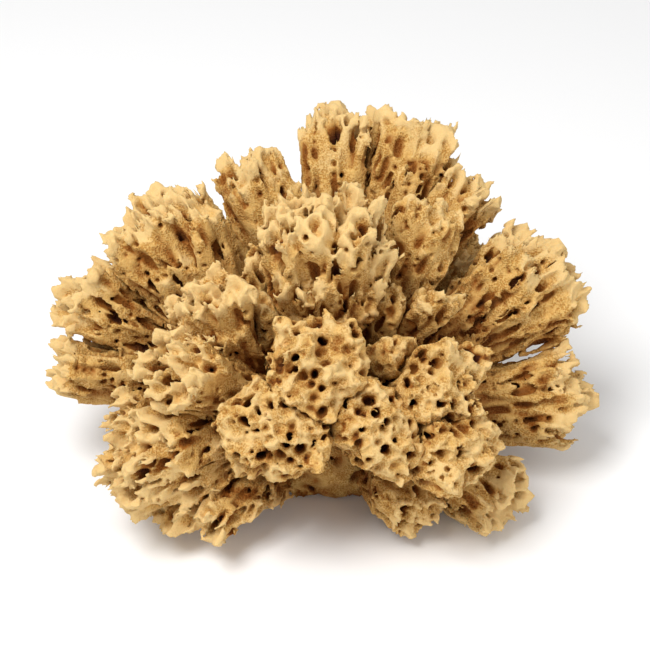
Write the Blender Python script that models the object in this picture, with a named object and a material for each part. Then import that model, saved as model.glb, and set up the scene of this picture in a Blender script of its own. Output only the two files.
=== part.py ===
"""A dried sea sponge: fan-shaped lobes that fork from one base, which is cut flat where it was taken off the rock.

Lengths in this script are millimetres. The origin is the middle of the cut face, +Z is up, and the front,
where the lobes stand closest together, faces -Y.
"""

import math
import random
from typing import NamedTuple

import bmesh
import bpy
from mathutils import Vector

MM = 0.001

# The base is a low dome about the heart, the point that the lobes grow away from.
HEART = Vector((0, 0, 30))
BASE_RADII = Vector((66, 56, 60))
BASE_POINTS = 130
BASE_MOUTH_DEPTH = 6
BASE_SWELL = (-1.5, 2.5)

# Neighbouring solids keep this gap, and what overhangs stays this far above the surface that the base rests on.
GAP = 0.3
FLOOR_CLEARANCE = 0.6

# A lobe is a cone, flared like a fan, with an arched crown. Every point of its surface can be seen from its middle,
# so its teeth and canal mouths stand out from the middle or sink toward it without crossing.
MIDDLE_SHARE = 0.58
SQUARENESS = 2.6
CROWN_ARCH = 0.36
ROOT_ROUNDING = 0.12
CROWN_START, CROWN_END = 0.55, 0.88
TOOTH_LENGTH, TOOTH_SHARE = 11.0, 0.16
CROWN_MOUTH_DEPTH, FLANK_MOUTH_DEPTH = 9.0, 3.5
DEEPEST_SHARE = 0.35
FLANK_RIPPLE = 1.5
SURFACE_SEARCH_STEPS = 22

# Space is shared out between lobes by treating each one as an ellipsoid, centred near its crown.
SHARE_CENTRE, SHARE_HALF_LENGTH = 0.62, 0.48
NEIGHBOUR_FACTOR = 1.5
ROOM_SIZE = 520


class Lobe(NamedTuple):
    """Root and tip of the axis, the way that the fan spreads, and its half width and half thickness at the crown.

    stalk is how wide the root is beside the crown, and points is how many vertices the surface has.
    """

    name: str
    root: tuple
    tip: tuple
    across: tuple
    half_width: float
    half_thickness: float
    stalk: float
    points: int

    @property
    def length(self):
        return (Vector(self.tip) - Vector(self.root)).length

    @property
    def axes(self):
        """Unit vectors across the fan, through it and along it."""
        along = (Vector(self.tip) - Vector(self.root)).normalized()
        across = Vector(self.across)
        across = (across - along * along.dot(across)).normalized()
        return across, along.cross(across), along


LOBES = (
    Lobe("lobe_crown", (1, -20, 70), (1, -19, 171), (1, 0, 0), 35, 24, 0.8, 160),
    Lobe("lobe_back_left", (-15, 14, 66), (-34, 77, 147), (1, 0.2, 0.2), 27, 20, 0.6, 120),
    Lobe("lobe_back_centre", (1, 22, 66), (9, 96, 160), (1, 0, 0), 23, 22, 0.55, 120),
    Lobe("lobe_back_right", (19, 18, 62), (53, 90, 158), (1, -0.3, 0), 26, 20, 0.55, 120),
    Lobe("lobe_right_rear", (28, 15, 58), (73, 61, 146), (0.8, -0.4, -0.4), 24, 15, 0.55, 110),
    Lobe("lobe_right_rear_low", (38, 12, 50), (84, 44, 108), (0.5, -0.5, -0.6), 15, 14, 0.62, 70),
    Lobe("lobe_right_high", (24, -8, 68), (62, 18, 154), (0.9, -0.2, -0.5), 20, 17, 0.6, 110),
    Lobe("lobe_left_high", (-36, -6, 66), (-94, 23, 144), (0.6, 0, 0.7), 36, 24, 0.5, 150),
    Lobe("lobe_left_high_rear", (-28, 18, 66), (-60, 56, 126), (0.7, 0, 0.5), 15, 14, 0.62, 70),
    Lobe("lobe_left_inner", (-32, -34, 66), (-65, -42, 132), (1, 0.1, 0.4), 24, 17, 0.6, 100),
    Lobe("lobe_left_low_upper", (-50, -2, 48), (-135, 15, 98), (0.4, 0, 0.9), 22, 21, 0.5, 115),
    Lobe("lobe_left_low", (-50, -8, 38), (-140, -4, 67), (0.2, 0, 1), 23, 22, 0.5, 115),
    Lobe("lobe_front_left", (-20, -36, 40), (-106, -85, 59), (0.2, 0.1, 1), 34, 27, 0.6, 150),
    Lobe("lobe_front_left_upper", (-24, -38, 60), (-79, -70, 113), (0.7, 0.1, 0.6), 21, 20, 0.58, 105),
    Lobe("lobe_front_left_under", (-24, -36, 24), (-78, -84, 25), (1, -0.7, 0), 33, 14, 0.6, 105),
    Lobe("lobe_front_left_face", (-16, -44, 50), (-26, -110, 98), (1, 0, 0.2), 32, 28, 0.62, 140),
    Lobe("lobe_front_centre", (0, -36, 70), (-4, -92, 125), (1, 0, 0), 27, 31, 0.62, 125),
    Lobe("lobe_front_right_inner", (14, -44, 50), (29, -104, 98), (0.7, -0.2, -0.7), 37, 20, 0.62, 130),
    Lobe("lobe_front_right_upper", (30, -32, 58), (71, -78, 107), (0.8, 0.2, 0.4), 26, 22, 0.55, 115),
    Lobe("lobe_front_right_lower", (30, -36, 42), (77, -100, 76), (0.5, 0.1, 0.9), 24, 22, 0.62, 115),
    Lobe("lobe_right_upper", (38, -4, 54), (129, 21, 108), (0.6, 0, -0.8), 36, 24, 0.52, 150),
    Lobe("lobe_right_lower", (50, -10, 38), (140, -14, 45), (0, 0.2, 1), 29, 22, 0.5, 125),
    Lobe("lobe_foot_right", (28, -34, 24), (57, -87, 24), (1, 0.4, 0), 27, 18, 0.62, 100),
    Lobe("lobe_foot_right_outer", (38, -28, 24), (99, -71, 22), (0.6, 0.8, 0.3), 21, 17, 0.62, 90),
    Lobe("bud_right_back", (22, -14, 78), (40, -26, 129), (1, 0, 0), 12, 11, 0.7, 50),
    Lobe("bud_right_outer", (34, -16, 72), (62, -26, 128), (1, 0, -0.4), 12, 11, 0.7, 50),
    Lobe("bud_right_front", (20, -32, 68), (41, -60, 116), (1, 0, 0), 13, 12, 0.7, 50),
    Lobe("bud_left_back", (-24, -10, 78), (-38, -14, 141), (1, 0, 0.2), 10, 10, 0.7, 44),
    Lobe("bud_left_front", (-20, -24, 76), (-35, -33, 130), (1, 0, 0.2), 10, 10, 0.7, 44),
    Lobe("lobe_rear_left", (-34, 30, 44), (-90, 84, 88), (0.7, 0.7, 0), 31, 25, 0.6, 120),
    Lobe("lobe_rear_centre", (0, 40, 42), (4, 124, 80), (1, 0, 0), 33, 26, 0.6, 120),
    Lobe("lobe_rear_right", (34, 30, 44), (95, 76, 78), (0.7, -0.7, 0), 29, 24, 0.6, 120),
    Lobe("lobe_rear_left_low", (-34, 26, 26), (-98, 66, 28), (0.5, 0.9, 0), 26, 22, 0.6, 95),
    Lobe("lobe_rear_right_low", (36, 28, 24), (88, 72, 26), (0.6, -0.8, 0), 26, 20, 0.6, 95),
)


def clear_scene():
    for obj in list(bpy.data.objects):
        bpy.data.objects.remove(obj, do_unlink=True)


def smooth_step(low, high, value):
    t = min(1.0, max(0.0, (value - low) / (high - low)))
    return t * t * (3 - 2 * t)


def material(name, colour, roughness):
    """One Principled finish: dry sponge fibre neither shines nor conducts."""
    made = bpy.data.materials.new(name)
    made.use_nodes = True
    shader = made.node_tree.nodes["Principled BSDF"]
    shader.inputs["Base Color"].default_value = (*colour, 1)
    shader.inputs["Roughness"].default_value = roughness
    shader.inputs["Metallic"].default_value = 0
    return made


def add_object(name, bm, finish=None):
    """A new object whose mesh, made in millimetres, is stored in metres."""
    bmesh.ops.scale(bm, vec=Vector((MM, MM, MM)), verts=bm.verts)
    bmesh.ops.recalc_face_normals(bm, faces=bm.faces)
    mesh = bpy.data.meshes.new(name)
    bm.to_mesh(mesh)
    bm.free()
    obj = bpy.data.objects.new(name, mesh)
    bpy.context.scene.collection.objects.link(obj)
    if finish:
        mesh.materials.append(finish)
    return obj


def cutter(name, bm):
    obj = add_object(name, bm)
    obj.hide_render = True
    obj.display_type = "WIRE"
    return obj


def cut(piece, tool, operation):
    boolean = piece.modifiers.new(f"{operation.lower()} {tool.name}", "BOOLEAN")
    boolean.operation = operation
    boolean.object = tool
    boolean.solver = "EXACT"


def slice_off(bm, point, outward):
    """Takes away what lies beyond a plane and closes the cut with one flat face."""
    sliced = bmesh.ops.bisect_plane(
        bm, geom=list(bm.verts) + list(bm.edges) + list(bm.faces),
        plane_co=point, plane_no=outward, clear_outer=True,
    )
    rim = [item for item in sliced["geom_cut"] if isinstance(item, bmesh.types.BMEdge)]
    if rim:
        bmesh.ops.contextual_create(bm, geom=rim)


def lattice_ball(points):
    """A unit ball with evenly spread vertices: a Fibonacci lattice and its convex hull."""
    bm = bmesh.new()
    golden = math.pi * (3 - math.sqrt(5))
    for k in range(points):
        z = 1 - (2 * k + 1) / points
        ring = math.sqrt(1 - z * z)
        bm.verts.new((ring * math.cos(golden * k), ring * math.sin(golden * k), z))
    bmesh.ops.convex_hull(bm, input=bm.verts)
    return bm


def mouths(bm, rng):
    """Vertices that become canal mouths, no two of them side by side."""
    order = list(bm.verts)
    rng.shuffle(order)
    chosen, blocked = set(), set()
    for vert in order:
        if vert in blocked:
            continue
        chosen.add(vert)
        blocked.update(edge.other_vert(vert) for edge in vert.link_edges)
    return chosen


def in_fan(lobe, point):
    """Whether a point, given across, through and along from the root, is inside the smooth fan."""
    x, y, height = point
    if height <= 0:
        return False
    flare = lobe.stalk + (1 - lobe.stalk) * height / lobe.length
    flare *= 1 - max(0.0, 1 - height / (lobe.length * ROOT_ROUNDING)) ** 2
    sideways, through = abs(x / lobe.half_width), abs(y / lobe.half_thickness)
    arch = CROWN_ARCH * (lobe.half_width * sideways ** 2 + lobe.half_thickness * through ** 2)
    return sideways ** SQUARENESS + through ** SQUARENESS < flare ** SQUARENESS and height + arch < lobe.length


def reach_in_fan(lobe, middle, heading):
    """How far the fan's surface is from its middle in one direction."""
    near, far = 0.0, lobe.length + lobe.half_width
    for _ in range(SURFACE_SEARCH_STEPS):
        half_way = (near + far) / 2
        if in_fan(lobe, middle + heading * half_way):
            near = half_way
        else:
            far = half_way
    return near


def lobe_body(lobe):
    """One fan: it flares from root to tip, and its crown is a field of teeth and canal mouths."""
    rng = random.Random(lobe.name)
    across, through, along = lobe.axes
    middle = Vector((0, 0, lobe.length * MIDDLE_SHARE))
    proportions = Vector((lobe.half_width, lobe.half_thickness, lobe.length / 2))
    bm = lattice_ball(lobe.points)
    mouth_verts = mouths(bm, rng)
    for vert in bm.verts:
        heading = (vert.co * proportions).normalized()
        reach = reach_in_fan(lobe, middle, heading)
        crown = smooth_step(CROWN_START, CROWN_END, (middle + heading * reach).z / lobe.length)
        if vert in mouth_verts:
            depth = FLANK_MOUTH_DEPTH + (CROWN_MOUTH_DEPTH - FLANK_MOUTH_DEPTH) * crown
            reach -= min(depth * rng.uniform(0.7, 1.2), reach * DEEPEST_SHARE)
        else:
            reach += min(TOOTH_LENGTH, lobe.length * TOOTH_SHARE) * crown * rng.uniform(-0.2, 1)
            reach += FLANK_RIPPLE * (1 - crown) * rng.uniform(-1, 1)
        x, y, height = middle + heading * reach
        vert.co = Vector(lobe.root) + across * x + through * y + along * height
    return bm


def base_body(clearance=0.0):
    """The dome that the lobes fork from, cut flat on the origin plane, or the same shape grown by a clearance."""
    rng = random.Random("base")
    bm = lattice_ball(BASE_POINTS)
    mouth_verts = mouths(bm, rng)
    for vert in bm.verts:
        out = vert.co.normalized()
        swell = rng.uniform(*BASE_SWELL)
        if vert in mouth_verts:
            swell = -BASE_MOUTH_DEPTH * rng.uniform(0.5, 1)
        vert.co = HEART + out * BASE_RADII + out * (swell + clearance)
    slice_off(bm, (0, 0, -clearance), (0, 0, -1))
    return bm


def share_of(lobe, direction):
    """How far a lobe's ellipsoid reaches from its centre in a direction."""
    halves = (lobe.half_width, lobe.half_thickness, lobe.length * SHARE_HALF_LENGTH)
    return math.sqrt(sum((half * axis.dot(direction)) ** 2 for axis, half in zip(lobe.axes, halves)))


def room_of(lobe):
    """The space that a lobe may fill: a block above the floor, cut by the plane between it and each neighbour."""
    centre = Vector(lobe.root).lerp(Vector(lobe.tip), SHARE_CENTRE)
    bm = bmesh.new()
    bmesh.ops.create_cube(bm, size=ROOM_SIZE)
    bmesh.ops.translate(bm, vec=Vector((0, 0, ROOM_SIZE / 2 + FLOOR_CLEARANCE)), verts=bm.verts)
    for other in LOBES:
        if other is lobe:
            continue
        between = Vector(other.root).lerp(Vector(other.tip), SHARE_CENTRE) - centre
        toward = between.normalized()
        mine, theirs = share_of(lobe, toward), share_of(other, toward)
        if between.length < (mine + theirs) * NEIGHBOUR_FACTOR:
            border = between.length * mine / (mine + theirs) - GAP / 2
            slice_off(bm, centre + toward * border, toward)
    return bm


def main():
    clear_scene()
    crust = material("base_fibre", (0.44, 0.29, 0.14), 0.9)
    fibre = material("sponge_fibre", (0.56, 0.37, 0.16), 0.85)
    add_object("base", base_body(), crust)
    base_tool = cutter("base_room", base_body(GAP))
    for lobe in LOBES:
        piece = add_object(lobe.name, lobe_body(lobe), fibre)
        cut(piece, cutter(f"{lobe.name}_room", room_of(lobe)), "INTERSECT")
        cut(piece, base_tool, "DIFFERENCE")


main()
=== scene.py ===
"""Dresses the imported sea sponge: each lobe becomes porous flesh, with canals, ridges and pointed teeth.

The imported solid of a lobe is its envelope. A density is worked out round it, from how far a point is inside
the envelope and from cells that follow the lobe's growth, and the surface of that density is the flesh.
"""

import math

import bpy
from bpy.props import FloatProperty, FloatVectorProperty, PointerProperty
from mathutils import Matrix, Quaternion, Vector


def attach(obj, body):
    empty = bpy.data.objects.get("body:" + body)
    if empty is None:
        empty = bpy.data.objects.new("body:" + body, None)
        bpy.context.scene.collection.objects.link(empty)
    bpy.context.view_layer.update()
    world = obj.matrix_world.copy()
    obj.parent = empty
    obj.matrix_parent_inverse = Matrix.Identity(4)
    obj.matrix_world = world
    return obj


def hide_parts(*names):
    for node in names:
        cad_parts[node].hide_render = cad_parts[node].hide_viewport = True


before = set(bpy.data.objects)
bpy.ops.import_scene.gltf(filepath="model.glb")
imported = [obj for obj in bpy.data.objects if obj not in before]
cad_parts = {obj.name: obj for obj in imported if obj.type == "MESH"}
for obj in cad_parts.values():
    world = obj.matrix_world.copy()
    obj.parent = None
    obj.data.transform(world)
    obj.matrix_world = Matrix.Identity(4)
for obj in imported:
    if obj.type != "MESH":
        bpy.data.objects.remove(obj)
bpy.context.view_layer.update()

bl_info = {
    "name": "Sea Sponge",
    "version": (1, 0, 0),
    "blender": (4, 5, 0),
    "location": "3D View > Sidebar > Sponge",
    "description": "Grows the porous flesh of a dried sea sponge on its packed solids",
    "category": "Object",
}

MM = 0.001
# The middle of the sponge, inside its base.
HEART = Vector((0, 0, 0.03))

# Lobes with long ridges and grooves that end in teeth.
RIDGED_LOBES = (
    "lobe_crown", "lobe_back_left", "lobe_back_centre", "lobe_back_right", "lobe_right_rear",
    "lobe_right_rear_low", "lobe_left_high", "lobe_left_high_rear", "lobe_left_inner", "lobe_left_low_upper",
    "lobe_left_low", "lobe_front_left", "lobe_front_left_upper", "lobe_front_left_under", "lobe_right_upper",
    "lobe_right_lower", "lobe_foot_right_outer",
)
# Lobes whose broad face is a smoother skin, pierced by round mouths.
PIERCED_LOBES = (
    "lobe_front_left_face", "lobe_front_centre", "lobe_front_right_inner", "lobe_front_right_upper",
    "lobe_front_right_lower", "lobe_right_high", "lobe_foot_right",
)
BUDS = ("bud_right_back", "bud_right_outer", "bud_right_front", "bud_left_back", "bud_left_front")
REAR_LOBES = (
    "lobe_rear_left", "lobe_rear_centre", "lobe_rear_right", "lobe_rear_left_low", "lobe_rear_right_low",
)

# The envelope: corners nearer than the gap are one corner, its surface is made even at the grain, and its
# roundings are smoothed by a strength, a number of times. Flesh may stand out of it by less than the margin.
CORNER_GAP = 0.00001
ENVELOPE_GRAIN = 0.004
ROUNDING, ROUNDINGS = 0.5, 3
MARGIN = 0.007

# The growth fans out from a focus, which lies behind the root by this share of the lobe's length.
FOCUS_SETBACK = 0.5
# How far a surface faces the growth where the crown begins, and where it is all crown.
CROWN_BEGINS, CROWN_FULL = 0.1, 0.8
# How far the crown lies below the top of the envelope, so that its teeth end just above it.
CROWN_SINK = 0.0046
# Canals bend by about this much, each time they have grown about this much.
BEND = 0.006
# A canal drops from its rim, just outside its radius, to its full depth, both in shares of its radius inwards.
CANAL_RIM, CANAL_FULL = -0.06, 0.45
# Thickness of a canal's wall in canal spacings, and how much the middle of a wall rises on the flanks and at
# the crown.
WALL = 0.3
FLANK_RISE, CROWN_RISE = 0.2, 1.3
# Width of a bundle of canals in canal spacings, and the share of it beyond which its edge is a valley.
BUNDLE = 2.3
BUNDLE_EDGE = 0.55
FUZZ_WIDTH, FUZZ_HEIGHT = 0.0024, 0.0015
# Rounding of the rim of a mouth, and the size of the smallest mouth as a share of the largest.
RIM_ROUNDING = 0.0009
SMALLEST_MOUTH = 0.35
# The browning of old flesh is partly age and partly painted shade where the lobes crowd at the heart.
# Old flesh begins at the first of these shares of the lobe's reach, and is all old at the second.
AGE_BEGINS, AGE_FULL = 0.80, 0.36

GROWTH = "sponge growth"
FINISH = "sponge flesh"

# The studio, in metres: the floor, and the place and width of each light.
FLOOR_WIDTH, FLOOR_DROP, FLOOR_COLOUR = 12, 0.0005, (0.9, 0.9, 0.9, 1)
KEY_PLACE, KEY_WIDTH = (-0.5, -0.55, 1.35), 0.7
FILL_PLACE, FILL_WIDTH = (0.9, -0.7, 0.6), 0.9
ROOM_LIGHT = 0.6
# The photograph's frame: its width in pixels, the size of a pixel at the heart, and how far the heart lies to
# the left of the frame's middle and below it, in pixels.
FRAME_WIDTH, PIXEL, HEART_LEFT, HEART_BELOW = 650, 0.000565, 2, 83


def length(name, description, default):
    """A property in metres."""
    return FloatProperty(
        name=name, description=description, default=default, min=0, unit="LENGTH", precision=4
    )


def share(name, description, default, high=1.0):
    """A property without a unit."""
    return FloatProperty(name=name, description=description, default=default, min=0, max=high)


def colour(name, description, default):
    """A colour property."""
    return FloatVectorProperty(
        name=name, description=description, default=default, subtype="COLOR", size=3, min=0, max=1
    )


class Flesh:
    """What a kind of flesh is like. The groups below change only what differs from ridged flesh."""

    grain: length("Grain", "Size of the smallest feature that is modelled", 0.00105)
    kept: share("Kept", "Share of the faces that is kept when flat areas are simplified", 0.42)
    canal_spacing: length("Canal spacing", "Distance between the middles of two canals", 0.0060)
    canal_stretch: share("Canal stretch", "How many times longer than wide a canal is", 3.0, 10)
    canal_least: share("Narrowest canal", "Narrowest radius, as a share of the spacing", 0.18)
    canal_most: share("Widest canal", "Widest radius, as a share of the spacing", 0.53)
    swelling: length("Swelling", "How far the flanks stand out towards their neighbours", 0.0012)
    crown_depth: length("Crown depth", "How deep canals go in at the crown", 0.017)
    flank_depth: length("Flank depth", "How deep canals go in on the flanks", 0.009)
    crown_teeth: length("Crown teeth", "Height of the teeth at the crown", 0.0085)
    flank_teeth: length("Flank teeth", "Height of the ridges on the flanks", 0.0014)
    crown_valleys: share("Crown valleys", "How steep the valleys between bundles are at the crown", 1.2, 3)
    flank_valleys: share("Flank valleys", "How steep the valleys between bundles are on the flanks", 0.55, 3)
    mouth_spacing: length("Mouth spacing", "Distance between round mouths in the skin", 0.0054)
    mouth_radius: length("Mouth radius", "Radius of the largest round mouths", 0.0021)
    mouth_depth: length("Mouth depth", "How far a round mouth goes in", 0.009)
    # Browning darkens the root, partly for age and partly as painted shade.
    browning: share("Browning", "How brown the flesh is at its root", 1.0)


class RidgedFlesh(Flesh, bpy.types.PropertyGroup):
    """Long ridges and grooves that end in teeth."""


class PiercedFlesh(Flesh, bpy.types.PropertyGroup):
    """Smoother skin with round mouths."""

    canal_least: share("Narrowest canal", "Narrowest radius, as a share of the spacing", 0.06)
    canal_most: share("Widest canal", "Widest radius, as a share of the spacing", 0.50)
    swelling: length("Swelling", "How far the flanks stand out towards their neighbours", 0.0017)
    crown_depth: length("Crown depth", "How deep canals go in at the crown", 0.012)
    crown_teeth: length("Crown teeth", "Height of the teeth at the crown", 0.0036)
    flank_teeth: length("Flank teeth", "Height of the ridges on the flanks", 0.0014)
    crown_valleys: share("Crown valleys", "How steep the valleys between bundles are at the crown", 0.5, 3)
    flank_valleys: share("Flank valleys", "How steep the valleys between bundles are on the flanks", 0.3, 3)
    mouth_spacing: length("Mouth spacing", "Distance between round mouths in the skin", 0.0040)
    mouth_radius: length("Mouth radius", "Radius of the largest round mouths", 0.0021)


class RearFlesh(Flesh, bpy.types.PropertyGroup):
    """The lobes at the back, in a coarser grain."""

    grain: length("Grain", "Size of the smallest feature that is modelled", 0.0016)


class BaseFlesh(Flesh, bpy.types.PropertyGroup):
    """The smooth root of the sponge."""

    grain: length("Grain", "Size of the smallest feature that is modelled", 0.0018)
    crown_depth: length("Crown depth", "How deep canals go in at the crown", 0.005)
    crown_teeth: length("Crown teeth", "Height of the teeth at the crown", 0.0005)
    flank_teeth: length("Flank teeth", "Height of the ridges on the flanks", 0.0005)
    crown_valleys: share("Crown valleys", "How steep the valleys between bundles are at the crown", 0.2, 3)
    browning: share("Browning", "How brown the flesh is at its root", 0.0)


class FleshColours(bpy.types.PropertyGroup):
    """Colours from the teeth down to the bottom of the canals: a pale painted highlight on the teeth, darker
    painted shade down the canals, and tints for the root and the pits.
    """

    # Tip: the pale ends of the teeth, a painted highlight on the crests.
    tip: colour("Tip", "Bleached ends of the teeth", (0.70, 0.485, 0.205))
    skin: colour("Skin", "Outer skin of the flesh", (0.66, 0.41, 0.13))
    # Wall and deep: darker and browner down the canals, which is painted shade.
    wall: colour("Wall", "Walls of the canals", (0.30, 0.108, 0.014))
    deep: colour("Deep", "Bottoms of the canals", (0.055, 0.011, 0.0008))
    # Old: browner near the root, partly with age and partly as painted shade.
    old: colour("Old", "Tint of the old flesh near the root", (0.50, 0.33, 0.15))
    # Prick: darkens the pin-prick pits, which is painted shade in them.
    prick_shade: colour("Prick", "Tint of the pin pricks in the skin", (0.72, 0.57, 0.39))


class Studio(bpy.types.PropertyGroup):
    """Where the camera and the lights stand, seen from the middle of the base."""

    elevation: FloatProperty(
        name="Elevation", description="Camera's height above the horizon", default=math.radians(37),
        subtype="ANGLE",
    )
    distance: length("Distance", "From the camera to the sponge's heart", 1.2)
    key_power: FloatProperty(name="Key power", description="Power of the main light, in watts", default=20)
    fill_power: FloatProperty(name="Fill power", description="Power of the fill light, in watts", default=3)


class SpongeSettings(bpy.types.PropertyGroup):
    """All that the panel shows."""

    ridged: PointerProperty(type=RidgedFlesh)
    pierced: PointerProperty(type=PiercedFlesh)
    rear: PointerProperty(type=RearFlesh)
    base: PointerProperty(type=BaseFlesh)
    colours: PointerProperty(type=FleshColours)
    studio: PointerProperty(type=Studio)


class Nodes:
    """Writes a node tree as sums: most methods add a node and return what comes out of it."""

    def __init__(self, tree):
        self.tree = tree

    def add(self, kind, settings=None, inputs=None):
        node = self.tree.nodes.new(kind)
        for name, value in (settings or {}).items():
            setattr(node, name, value)
        for name, value in (inputs or {}).items():
            self.feed(node.inputs[name], value)
        return node

    def feed(self, socket, value):
        if isinstance(value, bpy.types.NodeSocket):
            self.tree.links.new(value, socket)
        else:
            socket.default_value = value

    def math(self, operation, *values, clamp=False):
        node = self.add("ShaderNodeMath", {"operation": operation, "use_clamp": clamp})
        for socket, value in zip(node.inputs, values):
            self.feed(socket, value)
        return node.outputs[0]

    def vector(self, operation, *values):
        node = self.add("ShaderNodeVectorMath", {"operation": operation})
        for socket, value in zip(node.inputs, values):
            self.feed(socket, value)
        return node.outputs["Value"] if operation in ("LENGTH", "DOT_PRODUCT") else node.outputs[0]

    def scaled(self, vector, factor):
        node = self.add("ShaderNodeVectorMath", {"operation": "SCALE"})
        self.feed(node.inputs[0], vector)
        self.feed(node.inputs["Scale"], factor)
        return node.outputs[0]

    def ramp(self, value, low, high, to_low=0.0, to_high=1.0, smooth=True):
        kind = "SMOOTHSTEP" if smooth else "LINEAR"
        return self.add(
            "ShaderNodeMapRange", {"interpolation_type": kind},
            {"Value": value, "From Min": low, "From Max": high, "To Min": to_low, "To Max": to_high},
        ).outputs[0]

    def noise(self, vector, size, detail=2.0):
        return self.add(
            "ShaderNodeTexNoise", {"noise_dimensions": "3D"},
            {"Vector": self.scaled(vector, self.math("DIVIDE", 1.0, size)), "Scale": 1.0, "Detail": detail},
        ).outputs

    def cells(self, vector, spacing, randomness=0.9):
        """Distance to the nearest of scattered points, in the vector's unit, and a colour that it drew."""
        node = self.add(
            "ShaderNodeTexVoronoi", {"voronoi_dimensions": "3D", "feature": "F1"},
            {
                "Vector": self.scaled(vector, self.math("DIVIDE", 1.0, spacing)), "Scale": 1.0,
                "Randomness": randomness,
            },
        )
        return self.math("MULTIPLY", node.outputs["Distance"], spacing), node.outputs["Color"]

    def lottery(self, colour):
        """One number from 0 to 1 out of the colour that a cell drew."""
        return self.vector("DOT_PRODUCT", colour, (0.33, 0.33, 0.34))

    def stored(self, geometry, name, value):
        """The geometry with a number kept on each of its points."""
        return self.add(
            "GeometryNodeStoreNamedAttribute", {"data_type": "FLOAT", "domain": "POINT"},
            {"Geometry": geometry, "Name": name, "Value": value},
        ).outputs[0]


# Where a lobe stands and how finely it is worked out, and the sizes of its flesh, by their names in Flesh.
PLACING = (
    ("Focus", "NodeSocketVector"), ("Crown radius", "NodeSocketFloat"), ("Seed", "NodeSocketVector"),
    ("Upwards", "NodeSocketVector"), ("Low corner", "NodeSocketVector"), ("High corner", "NodeSocketVector"),
    ("Steps X", "NodeSocketInt"), ("Steps Y", "NodeSocketInt"), ("Steps Z", "NodeSocketInt"),
)
FLESH_SIZES = (
    "canal_spacing", "canal_stretch", "canal_least", "canal_most", "swelling", "crown_depth", "flank_depth",
    "crown_teeth", "flank_teeth", "crown_valleys", "flank_valleys", "mouth_spacing", "mouth_radius",
    "mouth_depth", "browning",
)


def envelope_field(n, envelope, place):
    """The nearest point of the envelope, where it faces, and how deep a place is inside it."""
    # A place is inside where the nearest face looks away from it. The rounded normal settles it at edges.
    looks = n.add("GeometryNodeInputNormal").outputs[0]
    flat, rounded = (
        n.add(
            "GeometryNodeFieldOnDomain", {"data_type": "FLOAT_VECTOR", "domain": domain}, {"Value": looks}
        ).outputs[0]
        for domain in ("FACE", "POINT")
    )
    shell = n.add(
        "GeometryNodeStoreNamedAttribute", {"data_type": "FLOAT_VECTOR", "domain": "CORNER"},
        {"Geometry": envelope, "Name": "shell_normal", "Value": n.vector("ADD", flat, rounded)},
    ).outputs[0]
    nearest = n.add("GeometryNodeProximity", {"target_element": "FACES"}, {"Geometry": shell}).outputs
    normal = n.add(
        "GeometryNodeInputNamedAttribute", {"data_type": "FLOAT_VECTOR"}, {"Name": "shell_normal"}
    )
    facing = n.add("GeometryNodeSampleNearestSurface", {"data_type": "FLOAT_VECTOR"}, {
        "Mesh": shell, "Value": normal.outputs["Attribute"],
    })
    facing = n.vector("NORMALIZE", facing.outputs["Value"])
    side = n.math("SIGN", n.vector("DOT_PRODUCT", n.vector("SUBTRACT", nearest["Position"], place), facing))
    return nearest["Position"], facing, n.math("MULTIPLY", nearest["Distance"], side)


def largest_island(n, surface):
    """The lobe without crumbs that hang free of it and without sealed bubbles."""
    island = n.add("GeometryNodeInputMeshIsland").outputs["Island Index"]
    size = n.add(
        "GeometryNodeAccumulateField", {"data_type": "INT"}, {"Value": 1, "Group ID": island}
    ).outputs["Total"]
    largest = n.add(
        "GeometryNodeAttributeStatistic", {"data_type": "FLOAT"}, {"Geometry": surface, "Attribute": size}
    ).outputs["Max"]
    return n.add(
        "GeometryNodeDeleteGeometry", {"domain": "POINT"},
        {"Geometry": surface, "Selection": n.math("LESS_THAN", size, largest)},
    ).outputs[0]


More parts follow.
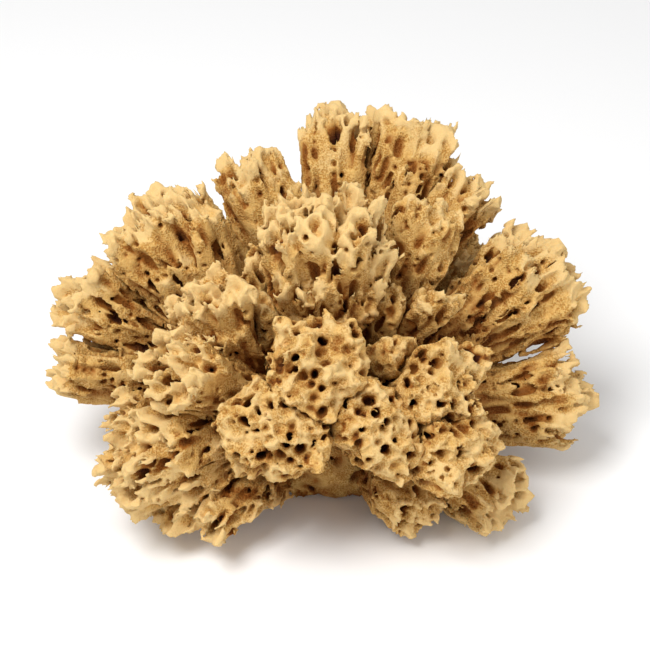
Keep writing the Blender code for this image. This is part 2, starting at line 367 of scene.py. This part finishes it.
def growth_tree():
    """The node group that grows flesh round an envelope, made once. All its lengths are metres."""
    if GROWTH in bpy.data.node_groups:
        return bpy.data.node_groups[GROWTH]
    tree = bpy.data.node_groups.new(GROWTH, "GeometryNodeTree")
    tree.interface.new_socket("Geometry", in_out="INPUT", socket_type="NodeSocketGeometry")
    for name, kind in (*PLACING, *((size, "NodeSocketFloat") for size in FLESH_SIZES)):
        tree.interface.new_socket(name, in_out="INPUT", socket_type=kind)
    tree.interface.new_socket("Geometry", in_out="OUTPUT", socket_type="NodeSocketGeometry")
    n = Nodes(tree)
    given = n.add("NodeGroupInput").outputs
    place = n.add("GeometryNodeInputPosition").outputs[0]
    nearest, facing, depth = envelope_field(n, given["Geometry"], place)

    # Cells are stretched along the lobe's growth, away from its focus, and keep their width at the crown.
    away = n.vector("SUBTRACT", place, given["Focus"])
    radius = n.vector("LENGTH", away)
    stretched = n.math("DIVIDE", n.math("SUBTRACT", radius, given["Crown radius"]), given["canal_stretch"])
    narrowing = n.math("DIVIDE", n.math("ADD", given["Crown radius"], stretched), radius)
    grown = n.vector("ADD", n.scaled(away, narrowing), given["Seed"])
    bend = n.vector("SUBTRACT", n.noise(grown, BEND, 1.0)["Color"], (0.5, 0.5, 0.5))
    grown = n.vector("ADD", grown, n.scaled(bend, BEND))
    crown = n.ramp(n.vector("DOT_PRODUCT", n.vector("NORMALIZE", away), facing), CROWN_BEGINS, CROWN_FULL)

    def between(flank, top):
        return n.ramp(crown, 0, 1, flank, top, smooth=False)

    # Canals follow the growth: long grooves on the flanks, round and deep at the crown, with teeth between.
    across, pick = n.cells(grown, given["canal_spacing"])
    reach = n.ramp(n.lottery(pick), 0.2, 0.8, given["canal_least"], given["canal_most"])
    width = n.math("MULTIPLY", given["canal_spacing"], reach)
    wall = n.math("SUBTRACT", across, width)
    inside = n.math("DIVIDE", n.math("MULTIPLY", wall, -1), width)
    bored = between(given["flank_depth"], given["crown_depth"])
    carved = n.math("MULTIPLY", n.ramp(inside, CANAL_RIM, CANAL_FULL), bored)
    thick = n.math("MULTIPLY", given["canal_spacing"], WALL)
    teeth = n.math("MULTIPLY", n.ramp(wall, 0, thick), between(given["flank_teeth"], given["crown_teeth"]))
    points = n.math("MAXIMUM", n.math("SUBTRACT", wall, thick), 0)
    teeth = n.math("ADD", teeth, n.math("MULTIPLY", points, between(FLANK_RISE, CROWN_RISE)))
    # The skin of the flanks stands a swelling out of the envelope.
    sunk = between(n.math("SUBTRACT", given["flank_teeth"], given["swelling"]), CROWN_SINK)
    flesh = n.math("SUBTRACT", n.math("ADD", depth, teeth), n.math("ADD", carved, sunk))

    bundle = n.math("MULTIPLY", given["canal_spacing"], BUNDLE)
    valley, _ = n.cells(grown, bundle)
    valley = n.math("SUBTRACT", valley, n.math("MULTIPLY", bundle, BUNDLE_EDGE))
    valley = n.math("MULTIPLY", valley, between(given["flank_valleys"], given["crown_valleys"]))
    flesh = n.math("ADD", flesh, valley)

    fuzz = n.math("SUBTRACT", n.noise(place, FUZZ_WIDTH, 1.0)["Fac"], 0.5)
    flesh = n.math("ADD", flesh, n.math("MULTIPLY", fuzz, FUZZ_HEIGHT))

    # Round mouths are bored straight in from the nearest point of the envelope, and close at their bottom.
    from_middle, pick = n.cells(n.vector("ADD", nearest, given["Seed"]), given["mouth_spacing"], 0.8)
    size = n.ramp(n.lottery(pick), 0.15, 0.85, SMALLEST_MOUTH, 1.0)
    bore = n.math("MULTIPLY", given["mouth_radius"], size)
    closing = n.ramp(depth, 0, n.math("MULTIPLY", given["mouth_depth"], size), 1.0, -0.4, smooth=False)
    hole = n.math("SUBTRACT", from_middle, n.math("MULTIPLY", bore, closing))
    flesh = n.math("SMOOTH_MIN", flesh, hole, RIM_ROUNDING)

    # Nothing grows below the surface that the sponge stands on, where its base is cut flat.
    flesh = n.math("MINIMUM", flesh, n.vector("DOT_PRODUCT", place, given["Upwards"]))

    box = n.add("GeometryNodeVolumeCube", None, {
        "Density": n.math("MULTIPLY", flesh, 1 / MM), "Background": -10.0, "Min": given["Low corner"],
        "Max": given["High corner"], "Resolution X": given["Steps X"], "Resolution Y": given["Steps Y"],
        "Resolution Z": given["Steps Z"],
    }).outputs[0]
    surface = n.add(
        "GeometryNodeVolumeToMesh", {"resolution_mode": "GRID"}, {"Volume": box, "Threshold": 0.0}
    ).outputs[0]
    surface = largest_island(n, surface)

    # The finish reads how deep a point lies below its part of the skin, in millimetres, for the painted shade
    # down the canals, and how old it is, which browns the root partly with age and partly as painted shade.
    recess = n.math("SUBTRACT", n.math("ADD", depth, valley), sunk)
    surface = n.stored(surface, "recess", n.math("MULTIPLY", recess, 1 / MM))
    reached = n.math("DIVIDE", radius, given["Crown radius"])
    surface = n.stored(surface, "age", n.ramp(reached, AGE_BEGINS, AGE_FULL, 0, given["browning"]))
    surface = n.add("GeometryNodeSetShadeSmooth", None, {"Geometry": surface}).outputs[0]
    n.feed(n.add("NodeGroupOutput").inputs[0], surface)
    return tree


def alone(obj):
    """Selects one object only, because an operator acts on all that is selected."""
    bpy.ops.object.select_all(action="DESELECT")
    obj.select_set(True)
    bpy.context.view_layer.objects.active = obj


def apply_modifier(obj, name, kind, **settings):
    """Adds a modifier and applies it at once."""
    modifier = obj.modifiers.new(name, kind)
    for key, value in settings.items():
        setattr(modifier, key, value)
    alone(obj)
    bpy.ops.object.modifier_apply(modifier=modifier.name)


def envelope_of(node):
    """A merged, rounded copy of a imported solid."""
    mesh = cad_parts[node].data.copy()
    obj = bpy.data.objects.new(f"{node}_flesh", mesh)
    bpy.context.scene.collection.objects.link(obj)
    mesh.materials.clear()
    alone(obj)
    bpy.ops.object.mode_set(mode="EDIT")
    bpy.ops.mesh.select_all(action="SELECT")
    bpy.ops.mesh.remove_doubles(threshold=CORNER_GAP)
    bpy.ops.object.mode_set(mode="OBJECT")
    apply_modifier(obj, "even", "REMESH", mode="VOXEL", voxel_size=ENVELOPE_GRAIN)
    apply_modifier(obj, "round", "SMOOTH", factor=ROUNDING, iterations=ROUNDINGS)
    return obj


def ends_of(mesh, heart=HEART):
    """The lobe's root, nearest the heart of the sponge, and its tip, farthest from it."""
    points = sorted((v.co.copy() for v in mesh.vertices), key=lambda co: (co - heart).length)
    tenth = max(1, len(points) // 10)
    root = sum(points[:tenth], Vector()) / tenth
    tip = sum(points[-tenth:], Vector()) / tenth
    return root, tip


def growth_frame(mesh):
    """The turn that stands a lobe up, its growth along Z and its broad side along X."""
    root, tip = ends_of(mesh)
    up = (tip - root).normalized()
    centre = sum((v.co for v in mesh.vertices), Vector()) / len(mesh.vertices)
    any_side = up.orthogonal().normalized()
    turns = [Quaternion(up, math.radians(step)) @ any_side for step in range(0, 180, 15)]
    broad = max(turns, key=lambda side: sum(abs((v.co - centre).dot(side)) for v in mesh.vertices))
    return Matrix((broad, up.cross(broad), up)).to_4x4()


def grow(node, flesh):
    """The porous flesh of one lobe, in place of its plain solid."""
    obj = envelope_of(node)
    upright = growth_frame(obj.data)
    obj.data.transform(upright)
    root, tip = ends_of(obj.data, upright @ HEART)
    along = tip - root
    focus = root - along * FOCUS_SETBACK
    places = [v.co for v in obj.data.vertices]
    margin = Vector((1, 1, 1)) * MARGIN
    low = Vector([min(co[i] for co in places) for i in range(3)]) - margin
    high = Vector([max(co[i] for co in places) for i in range(3)]) + margin
    steps = [max(2, round((b - a) / flesh.grain)) for a, b in zip(low, high)]
    seed = Vector((0.31, 0.17, 0.23)) * (sorted(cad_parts).index(node) + 1)

    modifier = obj.modifiers.new("growth", "NODES")
    modifier.node_group = growth_tree()
    values = {
        "Focus": focus, "Crown radius": (tip - focus).length, "Seed": seed,
        "Upwards": upright @ Vector((0, 0, 1)),
        "Low corner": low, "High corner": high,
        "Steps X": steps[0], "Steps Y": steps[1], "Steps Z": steps[2],
    }
    for socket in modifier.node_group.interface.items_tree:
        if socket.in_out == "INPUT" and socket.name != "Geometry":
            value = values[socket.name] if socket.name in values else getattr(flesh, socket.name)
            modifier[socket.identifier] = tuple(value) if isinstance(value, Vector) else value
    alone(obj)
    bpy.ops.object.modifier_apply(modifier=modifier.name)
    apply_modifier(obj, "simplify", "DECIMATE", ratio=flesh.kept)
    obj.data.transform(upright.inverted())
    obj.data.materials.clear()
    obj.data.materials.append(flesh_material(bpy.context.scene.sponge.colours))
    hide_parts(node)
    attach(obj, "root")


def flesh_material(colours):
    """Dry sponge flesh, made once: pale at the tips as a painted highlight, darker down the canals as painted
    shade, and browner near the root, partly with age and partly as painted shade.
    """
    if FINISH in bpy.data.materials:
        return bpy.data.materials[FINISH]
    made = bpy.data.materials.new(FINISH)
    made.use_nodes = True
    n = Nodes(made.node_tree)
    shader = made.node_tree.nodes["Principled BSDF"]
    place = n.add("ShaderNodeTexCoord").outputs["Object"]

    # The colour follows the recess in millimetres, shifted in wide blotches, from a pale painted highlight at
    # the tips to dark painted shade at the bottom of the canals.
    blotch_width, blotch_shift = 0.015, 4.0
    palest, darkest = -4.8, 5.4
    recess = n.add("ShaderNodeAttribute", {"attribute_name": "recess"}).outputs["Fac"]
    blotch = n.math("SUBTRACT", n.noise(place, blotch_width, 3.0)["Fac"], 0.5)
    recess = n.math("ADD", recess, n.math("MULTIPLY", blotch, blotch_shift))
    ramp = n.add("ShaderNodeValToRGB")
    n.feed(ramp.inputs[0], n.ramp(recess, palest, darkest, smooth=False))
    stops = ((0.0, colours.tip), (0.36, colours.skin), (0.62, colours.wall), (1.0, colours.deep))
    while len(ramp.color_ramp.elements) < len(stops):
        ramp.color_ramp.elements.new(0.5)
    for element, (position, tint) in zip(ramp.color_ramp.elements, stops):
        element.position = position
        element.color = (*tint, 1)

    # Pin pricks cover the skin, crowd in patches and leave the tips smooth; their darker tint is painted shade
    # in the pits.
    patch_width, prick_spacing, prick_rim, prick_bottom = 0.009, 0.0011, 0.00080, 0.00030
    patch = n.ramp(n.noise(place, patch_width, 2.0)["Fac"], 0.38, 0.54)
    pricks, _ = n.cells(place, prick_spacing)
    hollow = n.math("MULTIPLY", n.ramp(pricks, prick_rim, prick_bottom), n.ramp(patch, 0, 1, 0.35, 1.0))
    hollow = n.math("MULTIPLY", hollow, n.ramp(recess, -6.0, -2.0, 0.15, 1.0))

    def tinted(base, factor, tint):
        node = n.add("ShaderNodeMix", {"data_type": "RGBA", "blend_type": "MULTIPLY"})
        n.feed(node.inputs["Factor"], factor)
        n.feed(node.inputs["A"], base)
        n.feed(node.inputs["B"], (*tint, 1))
        return node.outputs["Result"]

    # Browner near the root: partly age, partly painted shade where the lobes crowd.
    age = n.add("ShaderNodeAttribute", {"attribute_name": "age"}).outputs["Fac"]
    finish = tinted(ramp.outputs[0], age, colours.old)
    finish = tinted(finish, hollow, colours.prick_shade)
    n.feed(shader.inputs["Base Color"], finish)
    fibre_width, relief = 0.0008, 0.0005
    fibre = n.noise(place, fibre_width, 2.0)["Fac"]
    height = n.math("SUBTRACT", n.math("MULTIPLY", fibre, relief), n.math("MULTIPLY", hollow, relief))
    bump = n.add("ShaderNodeBump", None, {"Strength": 0.8, "Distance": 1.0, "Height": height})
    n.feed(shader.inputs["Normal"], bump.outputs[0])
    n.feed(shader.inputs["Roughness"], n.ramp(hollow, 0, 1, 0.7, 0.95))
    shader.inputs["Specular IOR Level"].default_value = 0.2
    shader.inputs["Subsurface Weight"].default_value = 0.15
    shader.inputs["Subsurface Radius"].default_value = (0.002, 0.0012, 0.0006)
    shader.inputs["Subsurface Scale"].default_value = 1.0
    return made


class SPONGE_OT_ridged_lobes(bpy.types.Operator):
    """Grow the lobes that have long ridges and teeth"""

    bl_idname = "sponge.ridged_lobes"
    bl_label = "Grow ridged lobes"

    def execute(self, context):
        for node in RIDGED_LOBES:
            grow(node, context.scene.sponge.ridged)
        return {"FINISHED"}


class SPONGE_OT_pierced_lobes(bpy.types.Operator):
    """Grow the lobes whose face is a skin with round mouths"""

    bl_idname = "sponge.pierced_lobes"
    bl_label = "Grow pierced lobes"

    def execute(self, context):
        for node in PIERCED_LOBES + BUDS:
            grow(node, context.scene.sponge.pierced)
        return {"FINISHED"}


class SPONGE_OT_rear_lobes(bpy.types.Operator):
    """Grow the lobes at the back"""

    bl_idname = "sponge.rear_lobes"
    bl_label = "Grow rear lobes"

    def execute(self, context):
        for node in REAR_LOBES:
            grow(node, context.scene.sponge.rear)
        return {"FINISHED"}


class SPONGE_OT_base(bpy.types.Operator):
    """Grow the base that the lobes fork from"""

    bl_idname = "sponge.base"
    bl_label = "Grow the base"

    def execute(self, context):
        grow("base", context.scene.sponge.base)
        return {"FINISHED"}


def pointed_at(obj, target):
    """Turns a light or a camera towards a point."""
    obj.rotation_mode = "QUATERNION"
    obj.rotation_quaternion = (Vector(target) - obj.location).to_track_quat("-Z", "Y")


def area_light(name, place, width, power):
    """A soft square light that shines on the heart of the sponge."""
    bpy.ops.object.light_add(type="AREA", location=place)
    lamp = bpy.context.object
    lamp.name = name
    lamp.data.size = width
    lamp.data.energy = power
    pointed_at(lamp, HEART)


def pale_floor():
    bpy.ops.mesh.primitive_plane_add(size=FLOOR_WIDTH, location=(0, 0, -FLOOR_DROP))
    floor = bpy.context.object
    floor.name = "floor"
    pale = bpy.data.materials.new("pale floor")
    pale.use_nodes = True
    paint = pale.node_tree.nodes["Principled BSDF"]
    paint.inputs["Base Color"].default_value = FLOOR_COLOUR
    paint.inputs["Roughness"].default_value = 0.9
    floor.data.materials.append(pale)


def soft_room():
    room = bpy.data.worlds.new("soft room")
    room.use_nodes = True
    room.node_tree.nodes["Background"].inputs["Color"].default_value = (1, 1, 1, 1)
    room.node_tree.nodes["Background"].inputs["Strength"].default_value = ROOM_LIGHT
    bpy.context.scene.world = room


def photograph_camera(elevation, distance):
    """The camera that frames the sponge as the photograph does."""
    back = Vector((0, -math.cos(elevation), math.sin(elevation)))
    up = Vector((0, math.sin(elevation), math.cos(elevation)))
    bpy.ops.object.camera_add(location=HEART + back * distance)
    camera = bpy.context.object
    camera.name = "camera"
    pointed_at(camera, HEART + (Vector((1, 0, 0)) * HEART_LEFT + up * HEART_BELOW) * PIXEL)
    camera.data.lens = camera.data.sensor_width * distance / (FRAME_WIDTH * PIXEL)
    bpy.context.scene.camera = camera


class SPONGE_OT_stage(bpy.types.Operator):
    """Add the floor, the lights and the camera"""

    bl_idname = "sponge.stage"
    bl_label = "Add the stage"

    def execute(self, context):
        studio = context.scene.sponge.studio
        bpy.ops.object.select_all(action="DESELECT")
        pale_floor()
        area_light("key light", KEY_PLACE, KEY_WIDTH, studio.key_power)
        area_light("fill light", FILL_PLACE, FILL_WIDTH, studio.fill_power)
        soft_room()
        context.scene.view_settings.view_transform = "Standard"
        photograph_camera(studio.elevation, studio.distance)
        return {"FINISHED"}


class SPONGE_PT_panel(bpy.types.Panel):
    """Lists the steps of growing the sponge"""

    bl_idname = "SPONGE_PT_panel"
    bl_label = "Sea Sponge"
    bl_space_type = "VIEW_3D"
    bl_region_type = "UI"
    bl_category = "Sponge"

    def draw(self, context):
        for operator in OPERATORS:
            self.layout.operator(operator.bl_idname)


OPERATORS = (
    SPONGE_OT_base, SPONGE_OT_ridged_lobes, SPONGE_OT_pierced_lobes, SPONGE_OT_rear_lobes, SPONGE_OT_stage,
)
CLASSES = (
    RidgedFlesh, PiercedFlesh, RearFlesh, BaseFlesh, FleshColours, Studio, SpongeSettings, *OPERATORS,
    SPONGE_PT_panel,
)


def register():
    for cls in CLASSES:
        bpy.utils.register_class(cls)
    bpy.types.Scene.sponge = PointerProperty(type=SpongeSettings)


def unregister():
    del bpy.types.Scene.sponge
    for cls in reversed(CLASSES):
        bpy.utils.unregister_class(cls)


def main():
    register()
    bpy.ops.object.select_all(action="DESELECT")
    bpy.ops.sponge.base()
    bpy.ops.sponge.ridged_lobes()
    bpy.ops.sponge.pierced_lobes()
    bpy.ops.sponge.rear_lobes()
    bpy.ops.sponge.stage()


if __name__ == "__main__":
    main()
